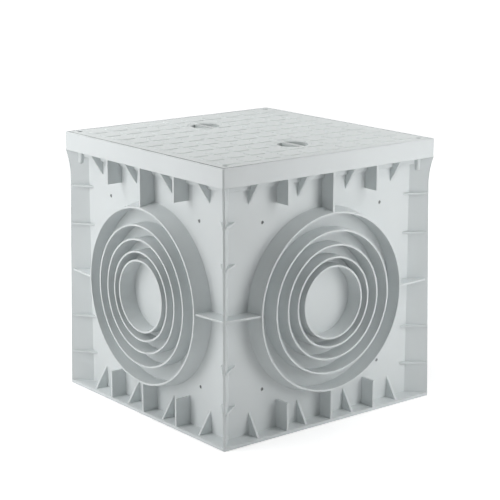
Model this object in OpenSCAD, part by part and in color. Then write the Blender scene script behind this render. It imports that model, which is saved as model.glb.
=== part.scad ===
// Square plastic drain inspection chamber with graded pipe knock-outs and a lift-out cover.
// Millimetres, +Z up, origin at the middle of the underside.

/* [Chamber] */
// Width over the rim, the same both ways
rim_w = 400; // [380:2:440]
// Height from the ground to the top of the rim
height = 404; // [390:2:440]
// Thickness of the four walls
wall_t = 4; // [3:0.5:6]
// Distance of the walls' outer faces behind the rim's faces
wall_inset = 25; // [22:1:30]
// Thickness of the floor and of the base flange around it
floor_t = 5; // [4:0.5:8]
// Radius of the base flange's corners
flange_corner_r = 3; // [2:1:12]

/* [Rim] */
// Height of the rim band
rim_h = 28; // [24:1:36]
// Thickness of the rim band
rim_t = 3; // [2.5:0.5:5]
// Radius of the rim's outer corners
rim_corner_r = 3; // [2:0.5:4]
// Thickness of the ledge that carries the cover
ledge_t = 4; // [3:0.5:6]
// Height of the thicker neck under the ledge
neck_h = 11; // [6:1:16]
// How far the neck stands out from the wall
neck_out = 5; // [3:0.5:8]

/* [Pipe knock-outs] */
// Height of the knock-outs' centre
ring_z = 184; // [180:1:190]
// Pipe sizes that the rings take, from the outermost ring inwards
pipe_sizes = [250, 200, 160, 125, 100];
// Widening of each ring over its pipe, as a fraction of the pipe
pipe_allowance = 0.05; // [0.02:0.01:0.06]
// Thickness of each ring
ring_t = 2.8; // [2:0.2:4]
// How far the rings stand out from the wall
ring_reach = 27; // [24:1:32]
// Widening of the outermost ring towards the wall
ring_flare = 5; // [2:0.5:8]
// Diameter of the marking dimples around the knock-outs
dimple_d = 5; // [3:0.5:6]
// Depth of the marking dimples
dimple_depth = 1.5; // [1:0.25:2]
// Sideways distance of the dimples from the middle of the wall
dimple_x = 112; // [108:1:116]
// Distance of the dimples above and below the middle between both rows
dimple_dz = 123; // [120:1:126]
// Height of the middle between both rows of dimples
dimple_z = 191; // [188:1:194]

/* [Wall ribs] */
// Thickness of the upright ribs
rib_t = 3.5; // [2.5:0.25:5]
// Distance of the inner triangular ribs from the middle
inner_web_x = 45; // [40:1:50]
// Distance of the square ribs from the middle
block_rib_x = 84; // [78:1:90]
// Distance of the outer triangular ribs from the middle
outer_web_x = 135; // [128:1:140]
// Height of the square ribs that hang under the rim
top_rib_h = 37; // [30:1:42]
// Height of the square ribs that stand on the base flange
base_rib_h = 42; // [36:1:48]
// Height of the triangular ribs
web_h = 33; // [26:1:38]
// Depth by which the triangular ribs stop behind the rim
web_setback = 4; // [2:1:8]
// Depth by which the level ribs end behind the fins' edges
level_rib_setback = 2; // [1:1:12]

/* [Corner fins] */
// Thickness of the diagonal fin at each corner
fin_t = 3.5; // [2.5:0.25:5]
// Distance of the fin's edge behind the rim, just under the rim's flare
fin_setback = 5.5; // [3:0.5:9]
// Height over which the fin's edge curves out to the rim
fin_flare_h = 43; // [30:1:60]
// Thickness of the level gussets that brace the fins
gusset_t = 3; // [2:0.25:4]
// Reach of the gussets along the wall
gusset_reach = 15; // [8:1:20]
// Reach of the gussets to each side of the fin's edge
gusset_edge = 3; // [3:0.5:8]
// Heights of the gussets above and below the level ribs
gusset_steps = [-133, -74, 74, 134];
// Height of the level ribs above the knock-outs' centre
level_rib_rise = 2; // [0:1:6]

/* [Cover] */
// Gap all round between the cover and the rim
cover_gap = 2; // [1:0.25:3]
// Thickness of the cover's top plate
cover_t = 4; // [3:0.5:6]
// Thickness of the skirt round the cover's edge
skirt_t = 3; // [2:0.5:4]
// Thickness of the ribs under the cover
cover_rib_t = 2.5; // [2:0.25:4]
// Height of the ribs under the cover
cover_rib_h = 15; // [8:1:18]
// Height of the square anti-slip pads on the plate, which is level with the rim
pad_h = 0.75; // [0.5:0.25:1.5]
// Width of one pad
pad_w = 27; // [20:1:32]
// Radius of the pads' corners
pad_corner_r = 3; // [1:0.5:5]
// Distance from one pad to the next
pad_pitch = 36.6; // [36:0.2:38]
// Pads along each side
pad_count = 10; // [6:2:10]
// Rows of cells between the ribs under the cover
cell_count = 10; // [6:1:12]

/* [Lifting recesses] */
// Diameter of the two round recesses
recess_d = 46; // [40:1:52]
// Depth of the recesses below the plate
recess_depth = 14; // [10:1:15]
// Thickness of the recesses' side and bottom
recess_t = 2.5; // [2:0.25:3]
// Width of the flat ring round each recess that the pads leave free
recess_land = 5; // [3:0.5:8]
// Distance of the recesses from the middle of the cover
recess_y = 107; // [100:1:115]
// Width of the bar that crosses each recess
grip_w = 8; // [6:0.5:10]
// Height of the bar that crosses each recess
grip_h = 6; // [4:0.5:7]

/* [Cover screws] */
// Distance of the screws from the rim's faces
screw_inset = 17.5; // [16:0.5:20]
// Diameter of the screws' shank
screw_d = 4.5; // [3.5:0.25:5]
// Length of the shank below the head
screw_l = 35; // [30:1:40]
// Diameter of the screws' head
screw_head_d = 8; // [7:0.5:9]
// Height of the screws' head
screw_head_h = 3; // [2:0.25:4]
// Depth of the counterbore that takes the head
screw_sink = 6; // [5:0.5:8]
// Gap round the shank in the chamber's boss
thread_gap = 0.05; // [0.05:0.05:0.2]
// Gap round the shank and the head in the cover
screw_gap = 0.5; // [0.25:0.25:1]
// Thickness of plastic round the screw in its bosses
boss_t = 1.75; // [1.5:0.25:3]
// Length of the chamber's boss, from the cover's seat down
boss_l = 24; // [20:1:28]

/* [Hidden] */
$fn = 96;
overlap = 1;

half_w = rim_w / 2;
wall_half = half_w - wall_inset;
inner_half = wall_half - wall_t;
rim_z = height - rim_h;
seat_z = rim_z + ledge_t;

ring_bores = [for (d = pipe_sizes) d * (1 + pipe_allowance) / 2];
ring_mid_r = ring_bores[0] + ring_t / 2;
level_rib_z = ring_z + level_rib_rise;

// The fins are drawn in the corner's diagonal plane, along d = x * sqrt(2).
diagonal = sqrt(2);
fin_top = half_w - fin_setback;
fin_foot_d = half_w * diagonal - flange_corner_r * (diagonal - 1);
fin_top_d = fin_top * diagonal;
rim_corner_d = half_w * diagonal - rim_corner_r * (diagonal - 1);
flare_d = rim_corner_d - fin_top_d;
flare_r = (fin_flare_h * fin_flare_h + flare_d * flare_d) / (2 * flare_d);
flare_steps = 10;

cover_half = half_w - rim_t - cover_gap;
plate_low_z = height - cover_t;
cell_pitch = 2 * (cover_half - skirt_t) / cell_count;
recess_r = recess_d / 2;
recess_low_z = height - recess_depth;

screw_at = half_w - screw_inset;
screw_seat_z = height - screw_sink;
screw_r = screw_d / 2;
boss_r = screw_r + thread_gap + boss_t;
cover_boss_r = screw_head_d / 2 + screw_gap + boss_t;

// ---- Helpers -------------------------------------------------------------

// Square of half-width h with true round corners of radius r.
module rounded_square(h, r) {
    square([2 * h, 2 * (h - r)], center = true);
    square([2 * (h - r), 2 * h], center = true);
    for (sx = [-1, 1], sy = [-1, 1]) translate([sx * (h - r), sy * (h - r)]) circle(r);
}

// Copies its children to the four sides; they are drawn on the -Y side.
module each_side() {
    for (a = [0:90:270]) rotate([0, 0, a]) children();
}

// Copies its children to the four corners; they are drawn on the +X +Y corner.
module each_corner() {
    for (a = [0:90:270]) rotate([0, 0, a]) children();
}

// Upright plate across the wall at sideways position x, from [depth, z] points.
// Depth counts outwards from the wall's outer face.
module upright(x, points) {
    translate([x - rib_t / 2, -wall_half, 0])
        rotate([90, 0, 90])
            linear_extrude(rib_t) polygon([for (p = points) [-p[0], p[1]]]);
}

// ---- Chamber -------------------------------------------------------------

module shell() {
    difference() {
        linear_extrude(rim_z + overlap) square(2 * wall_half, center = true);
        translate([0, 0, floor_t]) linear_extrude(height) square(2 * inner_half, center = true);
    }
    linear_extrude(floor_t) rounded_square(half_w, flange_corner_r);
}

module rim() {
    // Ledge and band
    difference() {
        translate([0, 0, rim_z]) linear_extrude(rim_h) rounded_square(half_w, rim_corner_r);
        translate([0, 0, seat_z]) linear_extrude(rim_h) square(2 * (half_w - rim_t), center = true);
        translate([0, 0, rim_z - overlap]) linear_extrude(rim_h) square(2 * inner_half, center = true);
    }
    // Neck
    translate([0, 0, rim_z - neck_h]) linear_extrude(neck_h + overlap) difference() {
        square(2 * (wall_half + neck_out), center = true);
        square(2 * (inner_half + overlap), center = true);
    }
}

// One ring standing out of the wall, wider by flare at its foot.
module ring(bore_r, flare) {
    translate([0, -wall_half, ring_z]) rotate([90, 0, 0]) rotate_extrude() polygon([
        [bore_r, -overlap],
        [bore_r + ring_t + flare, -overlap],
        [bore_r + ring_t, ring_reach],
        [bore_r, ring_reach]
    ]);
}

module knock_out() {
    for (i = [0:len(ring_bores) - 1]) ring(ring_bores[i], i == 0 ? ring_flare : 0);
}

module square_ribs() {
    for (x = [-block_rib_x, block_rib_x]) {
        upright(x, [[-overlap, rim_z - top_rib_h], [wall_inset, rim_z - top_rib_h],
                    [wall_inset, rim_z + overlap], [-overlap, rim_z + overlap]]);
        upright(x, [[-overlap, 0], [wall_inset, 0],
                    [wall_inset, floor_t + base_rib_h], [-overlap, floor_t + base_rib_h]]);
    }
}

// The ribs over and under the knock-out end inside its outermost ring.
module middle_ribs() {
    upright(0, [[-overlap, ring_z + ring_mid_r], [wall_inset, ring_z + ring_mid_r],
                [wall_inset, rim_z + overlap], [-overlap, rim_z + overlap]]);
    upright(0, [[-overlap, 0], [wall_inset, 0],
                [wall_inset, ring_z - ring_mid_r], [-overlap, ring_z - ring_mid_r]]);
}

module triangular_ribs() {
    reach = wall_inset - web_setback;
    for (x = [-outer_web_x, -inner_web_x, inner_web_x, outer_web_x]) {
        upright(x, [[-overlap, rim_z - web_h], [0, rim_z - web_h],
                    [reach, rim_z], [reach, rim_z + overlap], [-overlap, rim_z + overlap]]);
        upright(x, [[-overlap, 0], [reach, 0], [reach, floor_t],
                    [0, floor_t + web_h], [-overlap, floor_t + web_h]]);
    }
}

module dimples() {
    for (x = [-dimple_x, dimple_x], dz = [-dimple_dz, dimple_dz])
        translate([x, -wall_half - overlap, dimple_z + dz]) rotate([-90, 0, 0])
            cylinder(h = dimple_depth + overlap, d = dimple_d, $fn = 24);
}

// Edge of the fin, from its foot on the flange up to the rim's corner.
function flare_point(s) =
    let (a = s * asin(fin_flare_h / flare_r))
    [fin_top_d + flare_r * (1 - cos(a)), rim_z - fin_flare_h + flare_r * sin(a)];

module corner_fin() {
    root_d = (wall_half - wall_t / 2) * diagonal;
    rotate([90, 0, 45]) translate([0, 0, -fin_t / 2]) linear_extrude(fin_t) polygon(concat(
        [[root_d, 0], [fin_foot_d, 0], [fin_foot_d, floor_t]],
        [for (i = [0:flare_steps]) flare_point(i / flare_steps)],
        [[rim_corner_d, rim_z + overlap], [root_d, rim_z + overlap]]
    ));
}

// Half-width of the fins' edges at height z, below the flare.
function fin_edge(z) =
    let (foot = fin_foot_d / diagonal)
    foot + (fin_top - foot) * (z - floor_t) / (rim_z - fin_flare_h - floor_t);

module corner_gussets() {
    for (step = gusset_steps) {
        z = level_rib_z + step;
        tip = fin_edge(z) - overlap;
        edge = gusset_edge / diagonal;
        translate([0, 0, z - gusset_t / 2]) linear_extrude(gusset_t) polygon([
            [wall_half - overlap, wall_half - overlap],
            [wall_half - gusset_reach, wall_half - overlap],
            [wall_half - gusset_reach, wall_half],
            [tip - edge, tip + edge],
            [tip + edge, tip - edge],
            [wall_half, wall_half - gusset_reach],
            [wall_half - overlap, wall_half - gusset_reach]
        ]);
    }
}

// Level ribs at mid height, from the outermost ring to the fin on each side of it.
module level_ribs() {
    end = fin_edge(level_rib_z) - level_rib_setback;
    for (side = [-1, 1])
        translate([0, 0, level_rib_z - gusset_t / 2]) linear_extrude(gusset_t) polygon([
            [side * ring_mid_r, overlap - wall_half],
            [side * ring_mid_r, -half_w],
            [side * end, -end],
            [side * (wall_half - overlap), overlap - wall_half]
        ]);
}

module chamber_body() color([0.86, 0.88, 0.88]) {
    difference() {
        union() {
            shell();
            rim();
            each_side() {
                knock_out();
                square_ribs();
                middle_ribs();
                triangular_ribs();
                level_ribs();
            }
            each_corner() {
                corner_fin();
                corner_gussets();
                translate([screw_at, screw_at, seat_z - boss_l]) cylinder(h = boss_l, r = boss_r);
            }
        }
        each_side() dimples();
        each_corner() translate([screw_at, screw_at, seat_z - boss_l - overlap])
            cylinder(h = boss_l + 2 * overlap, r = screw_r + thread_gap);
    }
}

// ---- Cover ---------------------------------------------------------------

// Square pads in rows, cut away round the lifting recesses.
module anti_slip_pads() {
    middle = (pad_count - 1) / 2;
    difference() {
        for (i = [0:pad_count - 1], j = [0:pad_count - 1])
            translate([(i - middle) * pad_pitch, (j - middle) * pad_pitch])
                rounded_square(pad_w / 2, pad_corner_r);
        recess_positions() circle(recess_r + recess_land);
    }
}

// Square cells between the ribs under the plate.
module rib_cells() {
    for (i = [0:cell_count - 1], j = [0:cell_count - 1])
        translate([(i - (cell_count - 1) / 2) * cell_pitch, (j - (cell_count - 1) / 2) * cell_pitch])
            square(cell_pitch - cover_rib_t, center = true);
}

module cover_shell() {
    // Plate and skirt
    difference() {
        translate([0, 0, seat_z]) linear_extrude(height - seat_z) square(2 * cover_half, center = true);
        translate([0, 0, seat_z - overlap]) linear_extrude(plate_low_z - seat_z + overlap)
            square(2 * (cover_half - skirt_t), center = true);
    }
    // Ribs
    translate([0, 0, plate_low_z - cover_rib_h]) linear_extrude(cover_rib_h + overlap) difference() {
        square(2 * (cover_half - overlap), center = true);
        rib_cells();
    }
    // Pads
    translate([0, 0, height - overlap]) linear_extrude(pad_h + overlap) anti_slip_pads();
}

module recess_positions() {
    for (side = [-1, 1]) translate([0, side * recess_y, 0]) children();
}

module cover() color([0.82, 0.84, 0.84]) {
    difference() {
        union() {
            cover_shell();
            recess_positions() translate([0, 0, recess_low_z - recess_t])
                cylinder(h = recess_depth + recess_t, r = recess_r + recess_t);
            each_corner() translate([screw_at, screw_at, seat_z])
                cylinder(h = height - seat_z, r = cover_boss_r);
        }
        recess_positions() translate([0, 0, recess_low_z]) cylinder(h = recess_depth + overlap, r = recess_r);
        each_corner() translate([screw_at, screw_at, 0]) {
            cylinder(h = height, r = screw_r + screw_gap);
            translate([0, 0, screw_seat_z]) cylinder(h = height, r = screw_head_d / 2 + screw_gap);
        }
    }
    // Bars across the lifting recesses
    recess_positions() translate([-grip_w / 2, -recess_r - recess_t / 2, height - grip_h])
        cube([grip_w, recess_d + recess_t, grip_h]);
}

// ---- Screws --------------------------------------------------------------

module cover_screws() color([0.72, 0.73, 0.74]) {
    tip_h = screw_r;
    each_corner() translate([screw_at, screw_at, screw_seat_z]) rotate_extrude() polygon([
        [0, screw_head_h], [screw_head_d / 2, screw_head_h], [screw_head_d / 2, 0],
        [screw_r, 0], [screw_r, tip_h - screw_l], [0, -screw_l]
    ]);
}

chamber_body();
cover();
cover_screws();
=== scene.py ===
"""Drain inspection chamber: plastic finishes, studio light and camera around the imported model."""
import math

import bpy
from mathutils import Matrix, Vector


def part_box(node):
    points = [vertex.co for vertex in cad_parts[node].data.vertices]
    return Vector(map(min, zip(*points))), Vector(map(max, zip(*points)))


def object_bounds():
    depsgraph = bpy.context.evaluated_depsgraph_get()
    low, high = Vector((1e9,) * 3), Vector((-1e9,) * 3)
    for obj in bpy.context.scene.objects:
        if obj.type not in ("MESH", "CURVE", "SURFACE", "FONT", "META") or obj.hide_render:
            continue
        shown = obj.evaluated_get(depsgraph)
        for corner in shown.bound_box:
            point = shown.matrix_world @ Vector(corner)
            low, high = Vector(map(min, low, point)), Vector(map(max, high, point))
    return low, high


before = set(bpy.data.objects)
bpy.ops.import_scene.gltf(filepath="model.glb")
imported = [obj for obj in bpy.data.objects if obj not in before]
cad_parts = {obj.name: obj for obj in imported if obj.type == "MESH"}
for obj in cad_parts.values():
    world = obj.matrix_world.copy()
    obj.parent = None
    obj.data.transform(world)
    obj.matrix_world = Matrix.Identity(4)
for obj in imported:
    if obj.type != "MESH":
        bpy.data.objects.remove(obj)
CAD_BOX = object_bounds()

# Camera: a long lens a little over two metres away, looking slightly down on the near corner
CAMERA_AT = Vector((-1.4841, -1.8767, 0.8043))
CAMERA_HEADING = math.radians(38.43)
CAMERA_PITCH = math.radians(13.63)
CAMERA_LENS = 114.82
CAMERA_SENSOR = 36.0

# Colours of the finishes, linear
BODY_COLOUR = (0.685, 0.720, 0.725)
COVER_COLOUR = (0.650, 0.685, 0.682)
STEEL_COLOUR = (0.42, 0.43, 0.44)

# Plastic: its shine, the cloudy flow marks in its colour, its roughness, ripple, grain and edges
PLASTIC_IOR = 1.49
PLASTIC_SPECULAR = 0.42
FLOW_SCALE = 7.0
FLOW_DARK = 0.965
FLOW_LIGHT = 1.02
ROUGHNESS_SCALE = 45.0
ROUGHNESS_RANGE = (0.40, 0.52)
RIPPLE_SCALE = 38.0
RIPPLE_STRENGTH = 0.25
RIPPLE_HEIGHT = 0.0006
GRAIN_SCALE = 900.0
GRAIN_STRENGTH = 0.35
GRAIN_HEIGHT = 0.00012
BODY_EDGE_ROUND = 0.0009
COVER_EDGE_ROUND = 0.0003

# Zinc plate: the mottle in its colour and in its sheen
MOTTLE_SCALE = 700.0
MOTTLE_DARK = 0.8
SHEEN_SCALE = 1500.0
SHEEN_RANGE = (0.28, 0.45)

# Painted shade in the joint round the cover: full at the -X -Y corner, gone at JOINT_FADE_X along X,
# and down to JOINT_FAR of its strength at the far end along Y
COVER_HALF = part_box("cover")[1][0]
JOINT_SKIN = 0.0003
JOINT_SHADE_COLOUR = (0.03, 0.03, 0.03)
JOINT_FADE_X = 0.17
JOINT_FAR = 0.45

# Painted light and shade on the cover: painted light pales the pads' low sides, and painted shade
# darkens the tops of the lifting bars
PAD_FOOT = 0.4041
PAD_TOP = 0.4046
PAD_SIDE_PAINTED_LIGHT = 1.3
RECESS_AT_Y = 0.107
RECESS_RADIUS = 0.023
BAR_TOP_FROM = 0.4035
BAR_TOP_PAINTED_SHADE = 0.78

# Painted shade in the marking dimples of the walls: how deep it lies, and where the dimples are
DIMPLE_DEPTH_AT = 0.17415
DIMPLE_DEPTH_WITHIN = 0.00075
DIMPLE_SIDEWAYS = 0.112
DIMPLE_MIDDLE_Z = 0.191
DIMPLE_DZ = 0.123
DIMPLE_WITHIN = 0.003
DIMPLE_SHADE = 0.5

# Surround and floor: the floor glows for the camera, least beside the chamber, fully from WHITE_FROM on
WORLD_STRENGTH = 0.135
WHITE = (1.0, 1.0, 1.0, 1.0)
FLOOR_COLOUR = (0.86, 0.86, 0.86)
FLOOR_GLOW = 0.45
SHADE_WITHIN = 0.30
WHITE_FROM = 0.75
FLOOR_SIZE = 60.0
FLOOR_DROP = 0.0005

# Square lamps aimed at LIT_POINT: name, heading (0 towards -X, 90 towards +Y) and elevation from there
# in degrees, distance and size in metres, and power in watts
LIT_POINT = Vector((0.0, 0.0, 0.2))
LAMPS = (
    ("left_softbox", 15, 8, 1.8, 0.9, 5.8),
    ("left_upper_softbox", 15, 35, 1.8, 0.9, 5.4),
    ("left_high", 20, 35, 0.8, 0.35, 0.65),
    ("left_low", 20, 5, 0.8, 0.35, 0.6),
    ("left_far", 70, 50, 1.05, 0.5, 3.7),
    ("front_softbox", -45, 8, 1.8, 0.9, 0.5),
    ("right_upper_softbox", -105, 35, 1.8, 0.9, 0.5),
    ("right_high", -110, 35, 0.8, 0.35, 0.98),
    ("right_low", -110, 5, 0.8, 0.35, 1.44),
    ("right_far", -160, 50, 1.05, 0.5, 2.75),
    ("right_far_low", -160, 30, 1.05, 0.5, 0.35),
)


def node_tree(name):
    """A new node material and its tree, with the default nodes removed."""
    material = bpy.data.materials.new(name)
    material.use_nodes = True
    tree = material.node_tree
    tree.nodes.clear()
    return material, tree


def add_node(tree, kind, inputs=None, **settings):
    """A shader node with its settings and its inputs' values."""
    node = tree.nodes.new(kind)
    for key, value in settings.items():
        setattr(node, key, value)
    for key, value in (inputs or {}).items():
        node.inputs[key].default_value = value
    return node


def noise(tree, coords, scale, detail=3.0):
    """Noise over the coordinates, mostly between 0.3 and 0.7."""
    node = add_node(tree, "ShaderNodeTexNoise", {"Scale": scale, "Detail": detail})
    tree.links.new(coords, node.inputs["Vector"])
    return node.outputs["Fac"]


def math_node(tree, operation, *values):
    """A math node's result; each value is a socket or a number."""
    node = add_node(tree, "ShaderNodeMath", operation=operation)
    for socket, value in zip(node.inputs, values):
        if isinstance(value, (int, float)):
            socket.default_value = value
        else:
            tree.links.new(value, socket)
    return node.outputs["Value"]


def product(tree, first, *others):
    """The product of sockets and numbers."""
    for other in others:
        first = math_node(tree, "MULTIPLY", first, other)
    return first


def remap(tree, value, low, high, from_low=0.3, from_high=0.7):
    """The value carried over from one range to another, and held at its ends."""
    node = add_node(tree, "ShaderNodeMapRange", {
        "From Min": from_low, "From Max": from_high, "To Min": low, "To Max": high})
    tree.links.new(value, node.inputs["Value"])
    return node.outputs["Result"]


def mixed_colour(tree, factor, first, second):
    """A blend of two colours, each a socket or three numbers."""
    node = add_node(tree, "ShaderNodeMix", data_type="RGBA")
    tree.links.new(factor, node.inputs["Factor"])
    for key, colour in (("A", first), ("B", second)):
        if isinstance(colour, tuple):
            node.inputs[key].default_value = (*colour, 1.0)
        else:
            tree.links.new(colour, node.inputs[key])
    return node.outputs["Result"]


def scaled(colour, factor):
    return tuple(channel * factor for channel in colour)


def shaded(tree, colour, where, factor):
    """A colour socket, times the factor in the places where the mask is 1."""
    node = add_node(tree, "ShaderNodeVectorMath", operation="SCALE")
    tree.links.new(colour, node.inputs["Vector"])
    tree.links.new(math_node(tree, "ADD", product(tree, where, factor - 1.0), 1.0), node.inputs["Scale"])
    return node.outputs["Vector"]


def position(tree, coords):
    """A point's X, Y and Z, as sockets."""
    node = add_node(tree, "ShaderNodeSeparateXYZ")
    tree.links.new(coords, node.inputs["Vector"])
    return node.outputs


def sideways(tree, place, choice):
    """The MAXIMUM or the MINIMUM of a point's distances from the middle along X and along Y."""
    return math_node(
        tree, choice, math_node(tree, "ABSOLUTE", place["X"]), math_node(tree, "ABSOLUTE", place["Y"]))


def shaded_dimples(tree, coords, colour):
    """The body's colour, darkened with painted shade inside the small marking dimples round the
    knock-outs.
    """
    place = position(tree, coords)
    up = math_node(tree, "ABSOLUTE", math_node(tree, "SUBTRACT", place["Z"], DIMPLE_MIDDLE_Z))
    deep = math_node(
        tree, "COMPARE", sideways(tree, place, "MAXIMUM"), DIMPLE_DEPTH_AT, DIMPLE_DEPTH_WITHIN)
    across = math_node(tree, "COMPARE", sideways(tree, place, "MINIMUM"), DIMPLE_SIDEWAYS, DIMPLE_WITHIN)
    level = math_node(tree, "COMPARE", up, DIMPLE_DZ, DIMPLE_WITHIN)
    return shaded(tree, colour, product(tree, deep, across, level), DIMPLE_SHADE)


def on_pad_rims(tree, place):
    """1 on the low sides of the cover's square pads."""
    above_foot = math_node(tree, "GREATER_THAN", place["Z"], PAD_FOOT)
    below_top = math_node(tree, "LESS_THAN", place["Z"], PAD_TOP)
    return product(tree, above_foot, below_top)


def on_lifting_bars(tree, place):
    """1 on the tops of the bars that cross the two lifting recesses."""
    along = math_node(tree, "SUBTRACT", math_node(tree, "ABSOLUTE", place["Y"]), RECESS_AT_Y)
    squares = math_node(tree, "ADD", product(tree, place["X"], place["X"]), product(tree, along, along))
    in_recess = math_node(tree, "LESS_THAN", squares, RECESS_RADIUS ** 2)
    return product(tree, in_recess, math_node(tree, "GREATER_THAN", place["Z"], BAR_TOP_FROM))


def shade_in_joint(tree, place):
    """How much painted shade lies on the cover's outer sides, from 0 to 1."""
    side = math_node(tree, "GREATER_THAN", sideways(tree, place, "MAXIMUM"), COVER_HALF - JOINT_SKIN)
    along_x = remap(tree, place["X"], 1.0, 0.0, -COVER_HALF, JOINT_FADE_X - COVER_HALF)
    along_y = remap(tree, place["Y"], 1.0, JOINT_FAR, -COVER_HALF, COVER_HALF)
    return product(tree, side, along_x, along_y)


def cover_painted_shading(tree, coords, colour):
    """The cover's colour with painted light on the pads' sides, and painted shade on the lifting bars'
    tops and in the joint.
    """
    place = position(tree, coords)
    # painted light: the pads' low sides are made paler
    lit_pad_sides = shaded(tree, colour, on_pad_rims(tree, place), PAD_SIDE_PAINTED_LIGHT)
    # painted shade: the tops of the lifting bars in their recesses are made darker
    shaded_bar_tops = shaded(tree, lit_pad_sides, on_lifting_bars(tree, place), BAR_TOP_PAINTED_SHADE)
    return mixed_colour(tree, shade_in_joint(tree, place), shaded_bar_tops, JOINT_SHADE_COLOUR)


def moulded_plastic(name, colour, edge_round, marks):
    """Satin polypropylene: cloudy flow marks, a fine grain and softly rounded edges.

    marks takes the tree, the coordinates and the colour so far, and returns the colour to use.
    """
    material, tree = node_tree(name)
    link = tree.links.new
    coords = add_node(tree, "ShaderNodeTexCoord").outputs["Object"]
    shader = add_node(tree, "ShaderNodeBsdfPrincipled", {
        "IOR": PLASTIC_IOR, "Specular IOR Level": PLASTIC_SPECULAR})
    output = add_node(tree, "ShaderNodeOutputMaterial")

    clouds = remap(tree, noise(tree, coords, FLOW_SCALE, detail=4.0), 0.0, 1.0)
    flow = mixed_colour(tree, clouds, scaled(colour, FLOW_DARK), scaled(colour, FLOW_LIGHT))
    link(marks(tree, coords, flow), shader.inputs["Base Color"])
    link(remap(tree, noise(tree, coords, ROUGHNESS_SCALE), *ROUGHNESS_RANGE), shader.inputs["Roughness"])

    edges = add_node(tree, "ShaderNodeBevel", {"Radius": edge_round}, samples=4)
    ripple = add_node(tree, "ShaderNodeBump", {"Strength": RIPPLE_STRENGTH, "Distance": RIPPLE_HEIGHT})
    link(noise(tree, coords, RIPPLE_SCALE, detail=2.0), ripple.inputs["Height"])
    link(edges.outputs["Normal"], ripple.inputs["Normal"])
    grain = add_node(tree, "ShaderNodeBump", {"Strength": GRAIN_STRENGTH, "Distance": GRAIN_HEIGHT})
    link(noise(tree, coords, GRAIN_SCALE, detail=2.0), grain.inputs["Height"])
    link(ripple.outputs["Normal"], grain.inputs["Normal"])
    link(grain.outputs["Normal"], shader.inputs["Normal"])
    link(shader.outputs["BSDF"], output.inputs["Surface"])
    return material


def zinc_plate(name):
    """Zinc-plated steel with a faint mottled sheen."""
    material, tree = node_tree(name)
    link = tree.links.new
    coords = add_node(tree, "ShaderNodeTexCoord").outputs["Object"]
    shader = add_node(tree, "ShaderNodeBsdfPrincipled", {"Metallic": 1.0})
    output = add_node(tree, "ShaderNodeOutputMaterial")
    mottle = remap(tree, noise(tree, coords, MOTTLE_SCALE, detail=4.0), 0.0, 1.0)
    dark = scaled(STEEL_COLOUR, MOTTLE_DARK)
    link(mixed_colour(tree, mottle, dark, STEEL_COLOUR), shader.inputs["Base Color"])
    link(remap(tree, noise(tree, coords, SHEEN_SCALE), *SHEEN_RANGE), shader.inputs["Roughness"])
    link(shader.outputs["BSDF"], output.inputs["Surface"])
    return material


def assign(node, material):
    """Gives a CAD node its finish; its mesh stays as it is."""
    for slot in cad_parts[node].material_slots:
        slot.material = material


def dress():
    # the body gets painted shade inside its marking dimples
    body = moulded_plastic("grey_body_plastic", BODY_COLOUR, BODY_EDGE_ROUND, shaded_dimples)
    # the cover gets painted light on its pad sides and painted shade on its bar tops and in its joint
    cover = moulded_plastic("grey_cover_plastic", COVER_COLOUR, COVER_EDGE_ROUND, cover_painted_shading)
    assign("chamber_body", body)
    assign("cover", cover)
    assign("cover_screws", zinc_plate("zinc_plated_steel"))


def sees_background(tree):
    """1 for rays from the camera, off gloss or through glass, which show the white background."""
    path = add_node(tree, "ShaderNodeLightPath").outputs
    seen = math_node(tree, "MAXIMUM", path["Is Camera Ray"], path["Is Glossy Ray"])
    return math_node(tree, "MAXIMUM", seen, path["Is Transmission Ray"])


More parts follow.
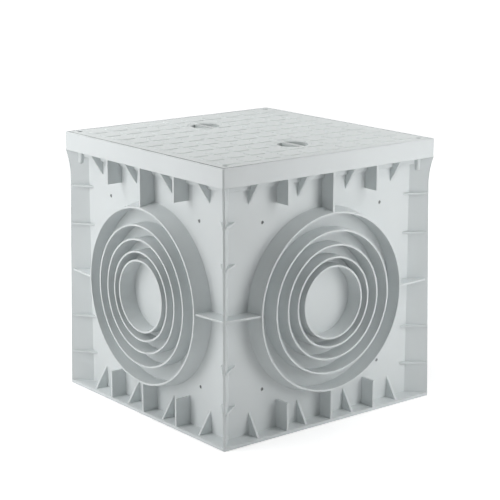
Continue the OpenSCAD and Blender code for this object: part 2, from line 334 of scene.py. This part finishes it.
def make_floor():
    """A white floor that keeps the chamber's soft shadow."""
    bpy.ops.mesh.primitive_plane_add(size=FLOOR_SIZE, location=(0, 0, CAD_BOX[0][2] - FLOOR_DROP))
    floor = bpy.context.object
    floor.name = "floor"
    material, tree = node_tree("studio_floor")
    link = tree.links.new
    matte = add_node(tree, "ShaderNodeBsdfDiffuse", {"Color": (*FLOOR_COLOUR, 1.0)})
    glow = add_node(tree, "ShaderNodeEmission")
    distance = add_node(tree, "ShaderNodeVectorMath", operation="LENGTH")
    both = add_node(tree, "ShaderNodeAddShader")
    output = add_node(tree, "ShaderNodeOutputMaterial")
    link(add_node(tree, "ShaderNodeTexCoord").outputs["Object"], distance.inputs[0])
    rise = remap(tree, distance.outputs["Value"], FLOOR_GLOW, 1.0, SHADE_WITHIN, WHITE_FROM)
    link(product(tree, sees_background(tree), rise), glow.inputs["Strength"])
    link(matte.outputs["BSDF"], both.inputs[0])
    link(glow.outputs["Emission"], both.inputs[1])
    link(both.outputs["Shader"], output.inputs["Surface"])
    floor.data.materials.append(material)


def make_world():
    """Even white surroundings, brighter where the camera sees them."""
    world = bpy.data.worlds.new("studio")
    world.use_nodes = True
    tree = world.node_tree
    tree.nodes.clear()
    ambient = add_node(tree, "ShaderNodeBackground", {"Color": WHITE, "Strength": WORLD_STRENGTH})
    backdrop = add_node(tree, "ShaderNodeBackground", {"Color": WHITE, "Strength": 1.0})
    pick = add_node(tree, "ShaderNodeMixShader")
    output = add_node(tree, "ShaderNodeOutputWorld")
    tree.links.new(sees_background(tree), pick.inputs["Fac"])
    tree.links.new(ambient.outputs["Background"], pick.inputs[1])
    tree.links.new(backdrop.outputs["Background"], pick.inputs[2])
    tree.links.new(pick.outputs["Shader"], output.inputs["Surface"])
    bpy.context.scene.world = world


def softbox(name, heading, elevation, distance, size, power):
    """A square area lamp aimed at the chamber's middle, placed as the lamps' table says."""
    lamp = bpy.data.lights.new(name, "AREA")
    lamp.size = size
    lamp.energy = power
    holder = bpy.data.objects.new(name, lamp)
    turn, rise = math.radians(heading), math.radians(elevation)
    towards = Vector((-math.cos(rise) * math.cos(turn), math.cos(rise) * math.sin(turn), math.sin(rise)))
    holder.location = LIT_POINT + distance * towards
    holder.rotation_euler = (-towards).to_track_quat("-Z", "Y").to_euler()
    bpy.context.collection.objects.link(holder)


def make_lights():
    """Soft light on each visible side, strongest from its far end."""
    for lamp in LAMPS:
        softbox(*lamp)


def make_camera():
    data = bpy.data.cameras.new("camera")
    data.sensor_width = CAMERA_SENSOR
    data.lens = CAMERA_LENS
    camera = bpy.data.objects.new("camera", data)
    camera.location = CAMERA_AT
    camera.rotation_euler = (math.pi / 2 - CAMERA_PITCH, 0.0, -CAMERA_HEADING)
    bpy.context.collection.objects.link(camera)
    bpy.context.scene.camera = camera


bpy.context.scene.view_settings.view_transform = "Standard"
make_camera()
make_world()
make_floor()
make_lights()
dress()
